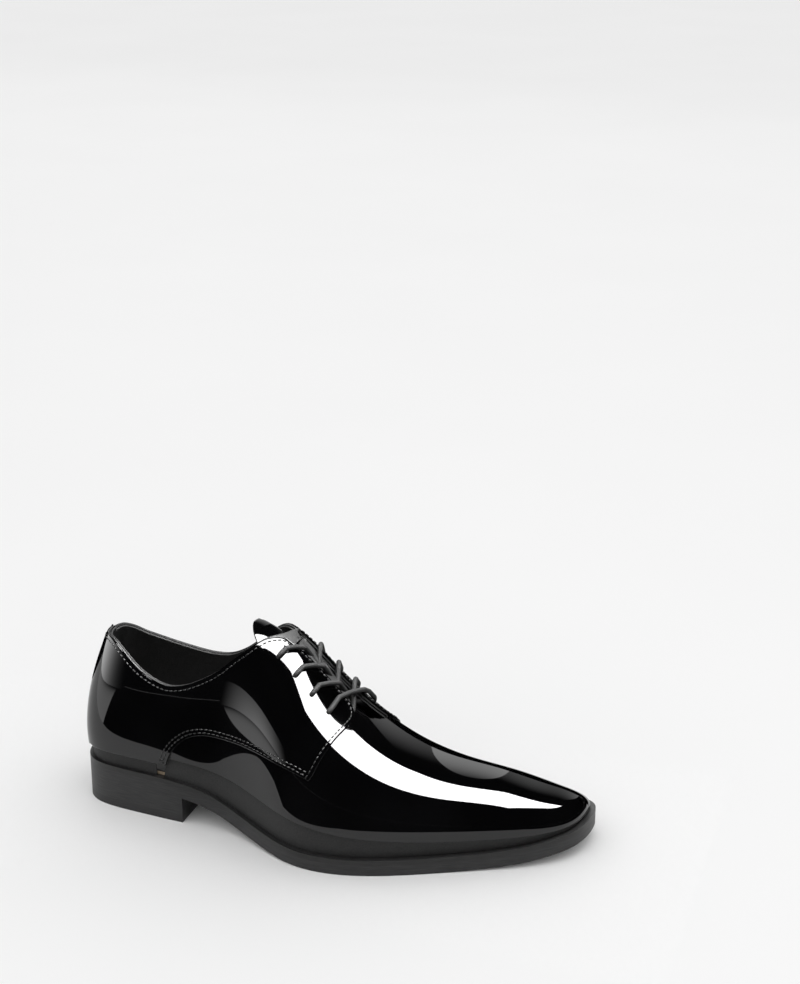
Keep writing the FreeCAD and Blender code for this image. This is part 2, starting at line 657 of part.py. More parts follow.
def make_lace():
    """The lace, whole, and the tags on its two ends."""
    from_lateral = lace_half("lateral", "medial", (0.9, 1.5), (4.2, -7.2))
    from_medial = lace_half("medial", "lateral", (0.9, 1.5), (4.2, -7.2))
    lateral_hole, _, _ = hole("lateral", 3)
    medial_hole, _, _ = hole("medial", 3)
    middle = (0.5 * (lateral_hole[0] + medial_hole[0]) + 3.0, 3.0)
    bar = between(lateral_hole, middle, (0.35, 0.7, 1.0), LACE_OVER + 0.15)
    bar += between(middle, medial_hole, (0.35, 0.7), LACE_OVER + 0.15)
    points = list(reversed(from_lateral)) + bar + from_medial
    path = rounded_path(points)
    start = points[0]
    direction = points[1] - points[0]
    profile = Part.Wire(Part.makeCircle(LACE_DIAMETER / 2, start, direction))
    lace = path.makePipeShell([profile], True, True)
    tags = []
    for end, inner in ((points[0], points[1]), (points[-1], points[-2])):
        outward = end - inner
        outward.normalize()
        tags.append(Part.makeCylinder(AGLET_RADIUS, AGLET_LENGTH, end, outward))
    return {"lace": lace, "lace_tags": Part.makeCompound(tags)}


if __name__ == "__main__":
    os.makedirs("parts", exist_ok=True)
    nodes = make_sole()
    nodes.update(make_upper())
    nodes.update(make_tongue())
    nodes.update(make_lace())
    for name, shape in nodes.items():
        solid = one(shape).translated(Vec(-ORIGIN_X, 0, 0))
        solid.exportStep(f"parts/{name}.step")
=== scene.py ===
"""Studio picture of a right derby shoe in black patent leather, built over its CAD frame.

The upper is one set of smooth surfaces over a shoemaker's last.  Each piece of leather is a patch of
those surfaces, cut along its pattern lines and laid at its own level above or below the vamp.
"""
import json
import logging
import math
from dataclasses import dataclass, field
from enum import Enum

import bpy
import numpy as np
from mathutils.kdtree import KDTree
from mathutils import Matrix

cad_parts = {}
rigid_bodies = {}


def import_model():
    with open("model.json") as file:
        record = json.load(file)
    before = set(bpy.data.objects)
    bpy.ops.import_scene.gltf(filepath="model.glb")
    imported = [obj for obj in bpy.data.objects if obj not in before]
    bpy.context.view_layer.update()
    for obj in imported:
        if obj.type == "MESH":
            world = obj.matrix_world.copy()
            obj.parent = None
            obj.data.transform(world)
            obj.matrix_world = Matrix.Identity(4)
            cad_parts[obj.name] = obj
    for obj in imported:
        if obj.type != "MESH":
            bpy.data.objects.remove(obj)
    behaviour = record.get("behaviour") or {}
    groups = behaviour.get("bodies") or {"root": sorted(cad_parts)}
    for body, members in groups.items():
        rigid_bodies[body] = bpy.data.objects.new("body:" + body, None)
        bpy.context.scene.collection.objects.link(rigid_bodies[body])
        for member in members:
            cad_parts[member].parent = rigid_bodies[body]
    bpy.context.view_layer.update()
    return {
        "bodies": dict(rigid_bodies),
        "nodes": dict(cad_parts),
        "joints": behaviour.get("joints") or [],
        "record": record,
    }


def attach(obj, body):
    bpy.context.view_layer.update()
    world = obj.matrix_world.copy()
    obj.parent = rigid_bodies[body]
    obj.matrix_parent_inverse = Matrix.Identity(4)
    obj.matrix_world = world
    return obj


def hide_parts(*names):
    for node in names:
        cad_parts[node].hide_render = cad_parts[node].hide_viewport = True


LOG = logging.getLogger("derby")
MM = 0.001
ORIGIN_X = 38.0


class Side(Enum):
    """The two halves of the shoe."""

    LATERAL = -1
    MEDIAL = 1


# ---- splines ---------------------------------------------------------------------------------------
def basis(count: int, t: np.ndarray) -> np.ndarray:
    """Values of a clamped cubic's basis functions.

    The de Boor recursion: each function of one degree is a weighted sum of two of the degree below.

    Args:
        count: Number of poles.
        t: Parameters, from 0 to count - 3.

    Returns:
        Array of len(t) by count.
    """
    inner = count - 4
    knots = np.array([0.0] * 4 + [float(k) for k in range(1, inner + 1)] + [inner + 1.0] * 4)
    t = np.clip(np.asarray(t, float), 0.0, inner + 1.0 - 1e-9)
    values = [((t >= knots[i]) & (t < knots[i + 1])).astype(float) for i in range(len(knots) - 1)]
    for degree in range(1, 4):
        raised = []
        for i in range(len(knots) - 1 - degree):
            left = knots[i + degree] - knots[i]
            right = knots[i + degree + 1] - knots[i + 1]
            part = np.zeros_like(t)
            if left > 0:
                part = part + (t - knots[i]) / left * values[i]
            if right > 0:
                part = part + (knots[i + degree + 1] - t) / right * values[i + 1]
            raised.append(part)
        values = raised
    return np.stack(values, -1)


def spline(poles: list, steps: int) -> np.ndarray:
    """Points along a clamped cubic with these poles."""
    rows = np.array(poles, float)
    return basis(len(rows), np.linspace(0, len(rows) - 3, steps)) @ rows


def smooth_line(points: list, steps: int) -> np.ndarray:
    """Points along a Catmull-Rom curve through the given points, evenly spaced by length."""
    p = np.array(points, float)
    padded = np.vstack([2 * p[0] - p[1], p, 2 * p[-1] - p[-2]])
    t = np.linspace(0, 1, 24, endpoint=False)[:, None]
    spans = []
    for a, b, c, d in zip(padded, padded[1:], padded[2:], padded[3:]):
        spans.append(0.5 * (2 * b + (c - a) * t + (2 * a - 5 * b + 4 * c - d) * t**2
                            + (3 * b - a - 3 * c + d) * t**3))
    dense = np.vstack(spans + [p[-1:]])
    return resample(dense, steps)


def resample(line: np.ndarray, steps: int) -> np.ndarray:
    """The same line as evenly spaced points."""
    run = np.r_[0.0, np.cumsum(np.linalg.norm(np.diff(line, axis=0), axis=1))]
    at = np.linspace(0, run[-1], steps)
    return np.stack([np.interp(at, run, line[:, k]) for k in range(line.shape[1])], -1)


# ---- the last --------------------------------------------------------------------------------------
@dataclass
class LastShape:
    """The last as control nets, in millimetres from the back of the heel."""

    edge_lateral: list = field(default_factory=lambda: [
        (2, 0), (2, -14), (8.5, -25.5), (24, -30.5), (48, -33), (74, -36), (98, -36.5), (122, -47),
        (147, -62), (176, -63.5), (206, -54), (235, -40.5), (262, -28.5), (286, -16), (303, 2), (303, 22)])
    edge_medial: list = field(default_factory=lambda: [
        (2, 0), (2, 14), (8.5, 25.5), (24, 31), (48, 32.5), (74, 30.5), (98, 27.5), (124, 28),
        (150, 34), (178, 44), (206, 50.5), (233, 51.5), (260, 48), (284, 42), (303, 34), (303, 22)])
    margins: list = field(default_factory=lambda: [
        1.5, 1.5, 1.5, 1.5, 1.5, 1.6, 1.8, 2.2, 2.8, 3.0, 3.0, 3.0, 3.0, 3.1, 3.2, 3.2])
    crest: list = field(default_factory=lambda: [
        (36, 0, 116), (36, 0, 116), (39, 0, 117), (50, 0, 118), (66, 1, 119), (85, 2, 123), (104, 3, 127),
        (122, 4, 121.5), (142, 6.5, 104), (165, 5, 79), (194, 4, 58), (222, 4.5, 47.5), (250, 9.5, 43),
        (276, 15, 33), (297.5, 21, 27)])
    heel_wall: list = field(default_factory=lambda: [
        (1.05, 0.15), (1.02, 0.34), (0.90, 0.56), (0.66, 0.82), (0.44, 1.0)])
    fore_lateral: list = field(default_factory=lambda: [
        (1.05, 0.24), (1.02, 0.54), (0.85, 0.83), (0.55, 0.98), (0.26, 1.0)])
    fore_medial: list = field(default_factory=lambda: [
        (1.05, 0.14), (1.05, 0.30), (0.92, 0.38), (0.64, 0.64), (0.30, 0.85)])
    fore_share: list = field(default_factory=lambda: [
        0, 0, 0, 0.02, 0.06, 0.14, 0.26, 0.42, 0.62, 0.82, 1, 1, 1, 1, 1])
    underside: list = field(default_factory=lambda: [
        (-6, 17), (40, 17), (70, 17), (90, 12.5), (108, 5.5), (128, 1.6), (155, 0), (190, 0), (232, 0),
        (262, 1.4), (284, 4.4), (310, 9)])
    sole: float = 6.5
    welt: float = 3.0
    drop: float = 5.0

    def __post_init__(self) -> None:
        """Line of the underside, and stores for nets and grids."""
        self._under = spline(self.underside, 3000)
        self._nets: dict = {}
        self._grids: dict = {}

    def bottom(self, x: np.ndarray) -> np.ndarray:
        """Height of the sole's underside."""
        return np.interp(x, self._under[:, 0], self._under[:, 1])

    def welt_top(self, x: np.ndarray) -> np.ndarray:
        """Height of the top of the welt."""
        return self.bottom(x) + self.sole + self.welt

    def edge(self, side: Side) -> list:
        """Poles of the sole's edge in plan."""
        return self.edge_lateral if side is Side.LATERAL else self.edge_medial

    def inset(self, side: Side, margins: list) -> np.ndarray:
        """Poles of the sole's edge moved inwards, square to the neighbouring poles."""
        edge = self.edge(side)
        sign = side.value
        last = len(edge) - 1
        moved = []
        for i, (x, y) in enumerate(edge):
            if i == 0:
                normal = (1.0, 0.0)
            elif i == 1:
                normal = (1.0, -0.4 * sign)
            elif i == last - 1:
                normal = (-1.0, -0.5 * sign)
            elif i == last:
                normal = (-1.0, 0.0)
            else:
                dx = edge[i + 1][0] - edge[i - 1][0]
                dy = edge[i + 1][1] - edge[i - 1][1]
                size = math.hypot(dx, dy)
                normal = (dy * sign / size, -dx * sign / size)
            moved.append((x + margins[i] * normal[0], y + margins[i] * normal[1]))
        return np.array(moved)

    def base_net(self, side: Side) -> np.ndarray:
        """Control net of one half: rows from heel to toe, columns from sole to crest."""
        foot = self.inset(side, self.margins)
        fore = self.fore_lateral if side is Side.LATERAL else self.fore_medial
        rows = []
        for i, (cx, cy, cz) in enumerate(self.crest):
            fx, fy = foot[i]
            base = self.welt_top(fx)
            low = base - self.drop
            row = [(cx, cy, self.welt_top(cx) - self.drop), (cx + 0.8 * (fx - cx), cy + 0.8 * (fy - cy), low),
                   (fx, fy, low), (fx, fy, base + 0.5)]
            for (hn, ht), (fn, ft) in zip(self.heel_wall, fore):
                n = hn + self.fore_share[i] * (fn - hn)
                t = ht + self.fore_share[i] * (ft - ht)
                row.append((cx + n * (fx - cx), cy + n * (fy - cy), base + t * (cz - base)))
            row.append((cx, cy, cz))
            rows.append(row)
        tip = (foot[-1][0], foot[-1][1], self.welt_top(foot[-1][0]) + 1.0)
        rows.append([tip] * len(rows[0]))
        return np.array(rows, float)

    def net(self, side: Side, level: float) -> np.ndarray:
        """The net moved outwards by a level, along the normals of its own polygons."""
        key = (side, round(level, 4))
        if key in self._nets:
            return self._nets[key]
        net = self.base_net(side)
        sign = side.value
        last_row, last_col = net.shape[0] - 1, net.shape[1] - 1
        along = np.vstack([net[1:], net[-1:]]) - np.vstack([net[:1], net[:-1]])
        up = np.concatenate([net[:, 1:], net[:, -1:]], 1) - np.concatenate([net[:, :1], net[:, :-1]], 1)
        up[:, :4] = (0, 0, 1)
        up[:, last_col] = (0, -sign, 0)
        along[0] = (0, sign, 0)
        normal = np.cross(up, along) * sign
        normal[0, last_col] = (0, 0, 1)
        normal[:, :2] = 0
        normal[:last_row, last_col, 1] = 0
        size = np.linalg.norm(normal, axis=-1, keepdims=True)
        shift = np.where(size > 1e-9, normal / np.maximum(size, 1e-9), 0.0) * level
        shift[last_row - 1, :, 0] = level
        shift[0, :, 1] = 0
        shift[:last_row, :3, 2] = -level
        shift[last_row] = (level, 0, 0)
        self._nets[key] = net + shift
        return self._nets[key]

    def at(self, side: Side, u: np.ndarray, v: np.ndarray, level: float) -> np.ndarray:
        """Points of one half's surface at a level: the tensor product of two cubics."""
        net = self.net(side, level)
        bu = basis(net.shape[0], np.ravel(u))
        bv = basis(net.shape[1], np.ravel(v))
        points = np.einsum("ni,nik->nk", bu, np.einsum("nj,ijk->nik", bv, net))
        return points.reshape(np.shape(u) + (3,))

    def normals(self, side: Side, u: np.ndarray, v: np.ndarray, level: float) -> np.ndarray:
        """Outward unit normals, from central differences."""
        step = 0.01
        du = self.at(side, u + step, v, level) - self.at(side, u - step, v, level)
        dv = self.at(side, u, v + step, level) - self.at(side, u, v - step, level)
        n = np.cross(du, dv) * side.value * -1.0
        return n / np.maximum(np.linalg.norm(n, axis=-1, keepdims=True), 1e-9)

    def find(self, side: Side, places: np.ndarray, axes: tuple, level: float,
             low_v: float = 2.6) -> np.ndarray:
        """Parameters of the surface points with two given coordinates.

        The nearest point of a coarse grid starts Newton's method on the two coordinates.

        Args:
            side: Half of the last.
            places: Pairs of coordinates.
            axes: Which coordinates they are, such as (0, 2) for x and z.
            level: Level of the surface.
            low_v: Lowest column parameter that counts.

        Returns:
            Pairs of parameters.
        """
        key = (side, round(level, 3), low_v, axes)
        net = self.net(side, level)
        if key not in self._grids:
            u, v = np.meshgrid(np.linspace(0, net.shape[0] - 3, 180),
                               np.linspace(low_v, net.shape[1] - 3, 110), indexing="ij")
            grid = self.at(side, u.ravel(), v.ravel(), level)
            tree = KDTree(len(grid))
            for i, spot in enumerate(grid[:, axes].tolist()):
                tree.insert((spot[0], spot[1], 0.0), i)
            tree.balance()
            self._grids[key] = (u.ravel(), v.ravel(), tree)
        gu, gv, tree = self._grids[key]
        want = np.asarray(places, float)
        best = np.array([tree.find((p[0], p[1], 0.0))[1] for p in want])
        uv = np.stack([gu[best], gv[best]], -1)
        step = 0.004
        for _ in range(8):
            here = self.at(side, uv[:, 0], uv[:, 1], level)[:, axes]
            du = (self.at(side, uv[:, 0] + step, uv[:, 1], level)[:, axes] - here) / step
            dv = (self.at(side, uv[:, 0], uv[:, 1] - step, level)[:, axes] - here) / -step
            miss = want - here
            det = du[:, 0] * dv[:, 1] - du[:, 1] * dv[:, 0]
            det = np.where(np.abs(det) < 1e-6, 1e-6, det)
            su = (miss[:, 0] * dv[:, 1] - miss[:, 1] * dv[:, 0]) / det
            sv = (du[:, 0] * miss[:, 1] - du[:, 1] * miss[:, 0]) / det
            uv = uv + np.clip(np.stack([su, sv], -1), -0.3, 0.3) * 0.8
            uv[:, 0] = np.clip(uv[:, 0], 0, net.shape[0] - 3)
            uv[:, 1] = np.clip(uv[:, 1], low_v, net.shape[1] - 3)
        return uv


@dataclass
class Pattern:
    """Pattern lines of one side's quarter: pairs in side view (x, z) or in plan (x, y)."""

    side: Side
    topline: list
    seam: list
    front: list


LATERAL_PATTERN = Pattern(
    Side.LATERAL,
    topline=[(4, 102), (10, 102.2), (18, 103.2), (24, 102.2), (31, 98), (38.8, 92.3), (47, 87.6),
             (58.9, 83.9),
             (68, 84.2), (78.8, 87.9), (92.1, 95.4), (102.3, 104), (110.5, 110.5), (117, 115.2), (122, 116.8),
             (128, 115.6), (134.7, 111.1)],
    seam=[(58.5, 22), (60.1, 27.2), (64.7, 42.3), (74.1, 53.6), (85.5, 58.7), (102, 59.6), (127.3, 59.4),
          (146.7, 57.6), (159.5, 54.2)],
    front=[(134.7, -9.3), (148, -9.0), (158, -9.4), (165.7, -10.9), (169.4, -13), (171.9, -16.5),
           (173.4, -22.2), (172.8, -29), (171.1, -36.5), (167.5, -47.2), (162.7, -56.2), (159.6, -59.1)])
MEDIAL_PATTERN = Pattern(
    Side.MEDIAL,
    topline=[(4, 102), (10, 101.9), (15, 100.4), (20, 97.2), (27.2, 92.3), (36.1, 88.8), (46.9, 85.6),
             (61, 82.9),
             (71.3, 82.4), (81.7, 84.2), (92, 90), (102, 98.5), (111, 106.5), (118, 112), (124.5, 115),
             (130.6, 114.3)],
    seam=[(58.5, 22), (60.5, 27), (65, 42), (74, 52), (85.5, 56.5), (102, 57), (120, 56), (140, 53),
          (160, 48),
          (176, 43.5)],
    front=[(131, 6.0), (141.3, 6.6), (152.7, 6.2), (161.9, 6.4), (171.5, 9.3), (179, 12.3), (184, 16.5),
           (185.6, 22), (184, 30), (180, 36)])
THROAT = [(120, -24), (150, -20), (168, -15.5), (174.5, -12.6), (180.7, -2.5), (183, 5), (181, 13), (172, 22),
          (150, 28), (120, 30)]
TONGUE_LATERAL = [(184, -9), (174, -15), (155, -18.5), (135, -18.5), (117, -16), (110.5, -11)]
TONGUE_MEDIAL = [(184, 14), (180, 16), (170, 18), (155, 18), (135, 17), (119, 15.5), (112, 10)]


# ---- meshes ----------------------------------------------------------------------------------------
def add_mesh(name: str, points: np.ndarray, faces: list, body: str,
             material: bpy.types.Material) -> bpy.types.Object:
    """New object from points in millimetres and lists of faces, riding on a CAD body.

    Args:
        name: Object name.
        points: N by 3 array, in millimetres from the back of the heel.
        faces: Integer arrays, each K by 3 or K by 4.
        body: CAD body that carries it.
        material: Its finish.

    Returns:
        The object.
    """
    place = (points - np.array([ORIGIN_X, 0, 0])) * MM
    mesh = bpy.data.meshes.new(name)
    loops = np.concatenate([f.ravel() for f in faces]).astype(np.int32)
    sizes = np.concatenate([np.full(len(f), f.shape[1]) for f in faces]).astype(np.int32)
    mesh.vertices.add(len(place))
    mesh.vertices.foreach_set("co", place.astype(np.float32).ravel())
    mesh.loops.add(len(loops))
    mesh.loops.foreach_set("vertex_index", loops)
    mesh.polygons.add(len(sizes))
    mesh.polygons.foreach_set("loop_start", np.r_[0, np.cumsum(sizes)[:-1]].astype(np.int32))
    mesh.polygons.foreach_set("loop_total", sizes)
    mesh.polygons.foreach_set("use_smooth", np.full(len(sizes), True))
    mesh.update()
    mesh.validate()
    mesh.materials.append(material)
    thing = bpy.data.objects.new(name, mesh)
    bpy.context.scene.collection.objects.link(thing)
    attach(thing, body)
    LOG.info("%s: %d vertices", name, len(place))
    return thing


def grid_faces(rows: int, cols: int, flip: bool, start: int = 0) -> np.ndarray:
    """Quads of a rows by cols grid of vertices.

    Args:
        rows: Vertices along the first way.
        cols: Vertices along the second way.
        flip: Whether the faces turn over.
        start: Number of the first vertex.

    Returns:
        Array of quads.
    """
    index = np.arange(rows * cols).reshape(rows, cols) + start
    quads = np.stack([index[:-1, :-1], index[1:, :-1], index[1:, 1:], index[:-1, 1:]], -1).reshape(-1, 4)
    return quads[:, ::-1] if flip else quads


def ring_of(rows: int, cols: int) -> np.ndarray:
    """Vertex numbers round the border of a grid, in order."""
    index = np.arange(rows * cols).reshape(rows, cols)
    return np.concatenate([index[:-1, 0], index[-1, :-1], index[:0:-1, -1], index[0, :0:-1]])


def near_edges(count: int) -> np.ndarray:
    """Parameters from 0 to 1 that crowd at both ends, for a rounded edge."""
    even = np.linspace(0, 1, count)
    step = even[1]
    return np.r_[0, step * np.array([0.08, 0.2, 0.4]), even[1:-1], 1 - step * np.array([0.4, 0.2, 0.08]), 1]


def coons(bottom: np.ndarray, top: np.ndarray, left: np.ndarray, right: np.ndarray, count_s: int,
          count_t: int) -> np.ndarray:
    """Grid between four border lines: the sum of the two ruled blends less the corners' blend.

    Args:
        bottom: Line from the left to the right corner, at the bottom.
        top: Line from the left to the right corner, at the top.
        left: Line upwards on the left.
        right: Line upwards on the right.
        count_s: Steps along the bottom.
        count_t: Steps upwards.

    Returns:
        Array of pairs.
    """
    s = near_edges(count_s)
    t = near_edges(count_t)

    def at(line: np.ndarray, where: np.ndarray) -> np.ndarray:
        """Points of a line at shares of its count."""
        spot = np.linspace(0, 1, len(line))
        return np.stack([np.interp(where, spot, line[:, k]) for k in range(2)], -1)
    b, c, lft, rgt = at(bottom, s), at(top, s), at(left, t), at(right, t)
    ss, tt = s[:, None, None], t[None, :, None]
    corners = ((1 - ss) * (1 - tt) * b[0] + ss * (1 - tt) * b[-1] + (1 - ss) * tt * c[0] + ss * tt * c[-1])
    return (1 - tt) * b[:, None] + tt * c[:, None] + (1 - ss) * lft[None] + ss * rgt[None] - corners


@dataclass
class Leather:
    """A piece cut from the last's surfaces, between two levels, with rounded edges."""

    name: str
    side: Side
    outer: float
    inner: float
    body: str = "shoe"
    round_mm: float = 0.45

    def build(self, last: LastShape, uv: np.ndarray, material: bpy.types.Material) -> bpy.types.Object:
        """Mesh of the piece from a grid of parameters.

        The outer level drops along a quarter circle over the last part of a millimetre before the border.

        Args:
            last: The last.
            uv: Grid of parameter pairs.
            material: Its finish.

        Returns:
            The object.
        """
        rows, cols = uv.shape[:2]
        u, v = uv[..., 0], uv[..., 1]
        outer = last.at(self.side, u, v, self.outer)
        inner = last.at(self.side, u, v, self.inner)
        run_s = np.cumsum(np.linalg.norm(np.diff(outer, axis=0, prepend=outer[:1]), axis=-1), 0)
        run_t = np.cumsum(np.linalg.norm(np.diff(outer, axis=1, prepend=outer[:, :1]), axis=-1), 1)
        gap = np.minimum(np.minimum(run_s, run_s[-1:] - run_s), np.minimum(run_t, run_t[:, -1:] - run_t))
        radius = min(self.round_mm, 0.8 * abs(self.outer - self.inner))
        near = np.clip(1 - gap / radius, 0, 1)
        fall = radius * (1 - np.sqrt(np.clip(1 - near**2, 0, 1)))
        share = (fall / abs(self.outer - self.inner))[..., None]
        face = outer * (1 - share) + inner * share
        flip = self.side is Side.MEDIAL
        points = np.vstack([face.reshape(-1, 3), inner.reshape(-1, 3)])
        count = rows * cols
        ring = ring_of(rows, cols)
        nxt = np.roll(ring, -1)
        wall = np.stack([ring, nxt, nxt + count, ring + count], -1)
        faces = [grid_faces(rows, cols, not flip), grid_faces(rows, cols, flip, count),
                 wall if flip else wall[:, ::-1]]
        return add_mesh(self.name, points, faces, self.body, material)


@dataclass
class Upper:
    """The visible leather of the upper, with the levels of its layers in millimetres."""

    last: LastShape
    quarter_out: float = 1.1
    quarter_in: float = 0.04
    lining_out: float = -0.02
    lining_in: float = -2.6
    rim_round: float = 0.9
    strap_out: float = 2.0
    strap_in: float = 1.05
    strap_half: float = 5.5
    strap_top: float = 98.0
    foot_gap: float = 0.1
    back_x: float = 6.0
    tongue_out: float = -7.0
    tongue_in: float = -8.6
    tongue_tip: float = 5.0

    def foot_line(self, side: Side, x0: float, x1: float, steps: int, level: float) -> np.ndarray:
        """Parameters of the line where a surface meets the welt, from one x to another."""
        xs = np.linspace(x0, x1, steps)
        places = np.stack([xs, self.last.welt_top(xs) + self.foot_gap], -1)
        return self.last.find(side, places, (0, 2), level)

    def back_column(self, side: Side, z: float, level: float) -> float:
        """Column parameter at the back of the heel, at a height."""
        v = np.linspace(2.0, 7.0, 900)
        heights = self.last.at(side, np.zeros_like(v), v, level)[:, 2]
        return float(np.interp(z, heights, v))

    def quarter_borders(self, pattern: Pattern, level: float) -> tuple:
        """Border lines of a quarter as parameters: bottom, top, left and right."""
        last, side = self.last, pattern.side
        low = self.back_column(side, float(last.welt_top(self.back_x)) + self.foot_gap, level)
        high = self.back_column(side, pattern.topline[0][1], level)
        left = np.stack([np.zeros(60), np.linspace(low, high, 60)], -1)
        foot = self.foot_line(side, 9.0, 57.8, 60, level)
        seam = last.find(side, smooth_line(pattern.seam, 160), (0, 2), level)
        bottom = np.vstack([left[:1], foot, seam])
        top = last.find(side, smooth_line(pattern.topline, 200)[12:], (0, 2), level)
        top = np.vstack([left[-1:], top])
        right = last.find(side, smooth_line(pattern.front, 160)[::-1], (0, 1), level)
        right[0] = bottom[-1]
        right[-1] = top[-1]
        return resample(bottom, 400), resample(top, 400), left, right

    def quarter(self, pattern: Pattern, leather: bpy.types.Material, lining: bpy.types.Material) -> None:
        """The quarter and, under it, its lining with the backing."""
        name = pattern.side.name.lower()
        uv = coons(*self.quarter_borders(pattern, self.quarter_out), 220, 120)
        shell = Leather(f"quarter_{name}_skin", pattern.side, self.quarter_out, self.quarter_in)
        outer = shell.build(self.last, uv, leather)
        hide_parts(f"quarter_{name}")
        under = Leather(f"quarter_lining_{name}_skin", pattern.side, self.lining_out, self.lining_in,
                        round_mm=self.rim_round)
        inner = under.build(self.last, coons(*self.quarter_borders(pattern, 0.0), 120, 70), lining)
        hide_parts(f"quarter_lining_{name}", f"quarter_backing_{name}", f"quarter_interlining_{name}")

    def vamp(self, side: Side, leather: bpy.types.Material) -> bpy.types.Object:
        """One half of the vamp: the whole half surface, less what lies behind the throat and the fronts.

        The grid is cut by whole cells.  The quarters cover the cut, except along the throat.

        Args:
            side: Half of the last.
            leather: Its finish.

        Returns:
            The object.
        """
        last = self.last
        net = last.net(side, 0.0)
        rows, cols = 420, 200
        u = np.linspace(2.5, net.shape[0] - 3.0, rows)
        v_low = np.full(rows, 2.9)
        uv_u = np.repeat(u[:, None], cols, 1)
        uv_v = v_low[:, None] + (net.shape[1] - 3.0 - v_low[:, None]) * np.linspace(0, 1, cols)[None]
        points = last.at(side, uv_u, uv_v, 0.0)
        x, y, z = points[..., 0], points[..., 1], points[..., 2]
        pattern = LATERAL_PATTERN if side is Side.LATERAL else MEDIAL_PATTERN
        seam = smooth_line(pattern.seam, 200)
        keep = z < np.interp(x, seam[:, 0] + 3.0, seam[:, 1] + 5.0, left=-50, right=500)
        front = smooth_line(pattern.front, 300)
        reach = np.interp(np.abs(y), np.sort(np.abs(front[:, 1])), front[np.argsort(np.abs(front[:, 1])), 0])
        throat = smooth_line(THROAT, 400)
        order = np.argsort(throat[:, 1])
        open_x = np.interp(y, throat[order, 1], throat[order, 0], left=0, right=0)
        ahead = (x > reach - 5.0) & (x > open_x)
        keep = (keep & (x < 175)) | ahead
        keep &= z > last.welt_top(x) - 1.0
        keep &= ~((x < open_x) & (z > 40))
        cell = keep[:-1, :-1] & keep[1:, :-1] & keep[1:, 1:] & keep[:-1, 1:]
        quads = grid_faces(rows, cols, side is Side.LATERAL)[cell.ravel()]
        used, inverse = np.unique(quads, return_inverse=True)
        name = f"vamp_{side.name.lower()}_skin"
        return add_mesh(name, points.reshape(-1, 3)[used], [inverse.reshape(quads.shape)], "shoe", leather)

    def backstay(self, side: Side, leather: bpy.types.Material) -> bpy.types.Object:
        """Half of the strap up the back seam."""
        low = self.back_column(side, float(self.last.welt_top(self.back_x)) + self.foot_gap, self.strap_out)
        high = self.back_column(side, self.strap_top, self.strap_out)
        v = np.linspace(low, high, 90)
        rows = np.linspace(0, 2.0, 60)
        near = self.last.at(side, rows, np.full(60, 0.5 * (low + high)), self.strap_out)
        u_edge = float(np.interp(self.strap_half, np.abs(near[:, 1]), rows))
        u = u_edge * near_edges(12)
        uv = np.stack(np.meshgrid(u, v, indexing="ij"), -1)
        strap = Leather(f"backstay_{side.name.lower()}_skin", side, self.strap_out, self.strap_in)
        return strap.build(self.last, uv, leather)

    def tongue(self, leather: bpy.types.Material) -> bpy.types.Object:
        """The tongue: a grid across the crest between its two outlines."""
        left = smooth_line(TONGUE_LATERAL, 120)
        right = smooth_line(TONGUE_MEDIAL, 120)
        share = near_edges(36)
        plan = left[:, None] * (1 - share[None, :, None]) + right[:, None] * share[None, :, None]
        end = np.clip((np.arange(120) - 84) / 35.0, 0, 1)
        plan[..., 0] -= (end**2)[:, None] * self.tongue_tip * (1 - (2 * share[None, :] - 1) ** 2)
        crest = np.interp(plan[..., 0], [104, 122, 142, 165, 194], [3, 4, 6.2, 5.2, 4.2])
        layers = []
        for level in (self.tongue_out, self.tongue_in):
            flat = plan.reshape(-1, 2)
            is_lateral = flat[:, 1] < crest.ravel()
            points = np.zeros((len(flat), 3))
            for side, mask in ((Side.LATERAL, is_lateral), (Side.MEDIAL, ~is_lateral)):
                uv = self.last.find(side, flat[mask], (0, 1), level, 5.0)
                points[mask] = self.last.at(side, uv[:, 0], uv[:, 1], level)
            layers.append(points.reshape(plan.shape[:2] + (3,)))
        rows, cols = plan.shape[:2]
        ring = ring_of(rows, cols)
        nxt = np.roll(ring, -1)
        wall = np.stack([ring, nxt, nxt + rows * cols, ring + rows * cols], -1)
        faces = [grid_faces(rows, cols, False), grid_faces(rows, cols, True, rows * cols), wall[:, ::-1]]
        points = np.vstack([layer.reshape(-1, 3) for layer in layers])
        thing = add_mesh("tongue_skin", points, faces, "tongue", leather)
        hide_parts("tongue", "tongue_lining")
        return thing


